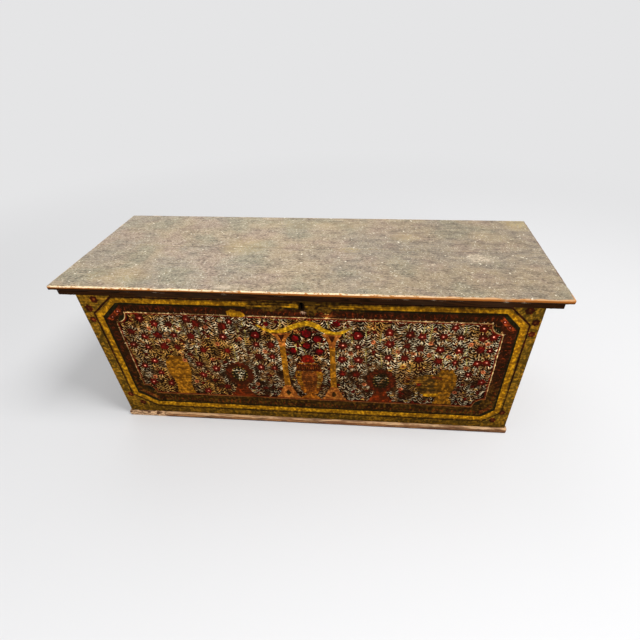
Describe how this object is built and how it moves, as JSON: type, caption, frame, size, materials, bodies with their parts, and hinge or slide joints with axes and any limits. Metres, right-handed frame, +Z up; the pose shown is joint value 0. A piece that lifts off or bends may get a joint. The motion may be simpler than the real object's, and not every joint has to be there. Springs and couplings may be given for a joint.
{
  "type": "wedding chest",
  "caption": "Long painted plank chest with an overhanging hinged lid, a bolt lock behind a keyhole, a till inside and a worn base board.",
  "frame": {"origin": "on the floor under the middle of the lid", "axes": "+X to the chest's right end as seen from the painted front, -Y out of the front, +Z up"},
  "size_m": [1.6, 0.596, 0.5949],
  "materials": {
    "painted_front": "worn matt folk paint, olive and ochre, rubbed through to the wood",
    "painted_ends": "worn matt olive paint",
    "back_pine": "dry unpainted softwood",
    "base_pine": "worn bare softwood",
    "bare_pine": "planed bare softwood",
    "lid_paint": "grimy worn paint with a soft sheen",
    "dark_trim": "dark stained softwood",
    "forged_iron": "forged and blackened, lightly rusted"
  },
  "bodies": {
    "case": {"front_plank_lower": "painted_front", "front_plank_upper": "painted_front", "back_plank_lower": "back_pine", "back_plank_upper": "back_pine", "left_end_plank_lower": "painted_ends", "left_end_plank_upper": "painted_ends", "right_end_plank_lower": "painted_ends", "right_end_plank_upper": "painted_ends", "base_plank_front": "base_pine", "base_plank_middle": "base_pine", "base_plank_back": "base_pine", "till_floor": "bare_pine", "till_front": "bare_pine", "hinge_plate_left": "forged_iron", "hinge_plate_right": "forged_iron", "hinge_pin_left": "forged_iron", "hinge_pin_right": "forged_iron", "hinge_plate_nails": "forged_iron", "lock_plate": "forged_iron", "lock_cover": "forged_iron", "lock_guides": "forged_iron", "lock_spring": "forged_iron", "lock_key_pin": "forged_iron", "lock_nails": "forged_iron", "base_nails": "forged_iron"},
    "lid": {"lid_plank_front": "lid_paint", "lid_plank_back": "lid_paint", "lid_cleat_left": "dark_trim", "lid_cleat_right": "dark_trim", "lid_front_moulding": "dark_trim", "cleat_nails": "forged_iron", "hinge_strap_left": "forged_iron", "hinge_strap_right": "forged_iron", "hinge_strap_nails": "forged_iron", "lid_staple": "forged_iron", "lid_staple_nails": "forged_iron"},
    "lock_bolt": {"lock_bolt": "forged_iron"}
  },
  "joints": [
    {"name": "lid_hinge", "type": "hinge", "parent": "case", "child": "lid", "pos_m": [0, 0.266, 0.5736], "axis": [-1, 0, 0], "range_deg": [0, 100]},
    {"name": "bolt_slide", "type": "slide", "parent": "case", "child": "lock_bolt", "axis": [1, 0, 0], "range_m": [0, 0.014]}
  ]
}
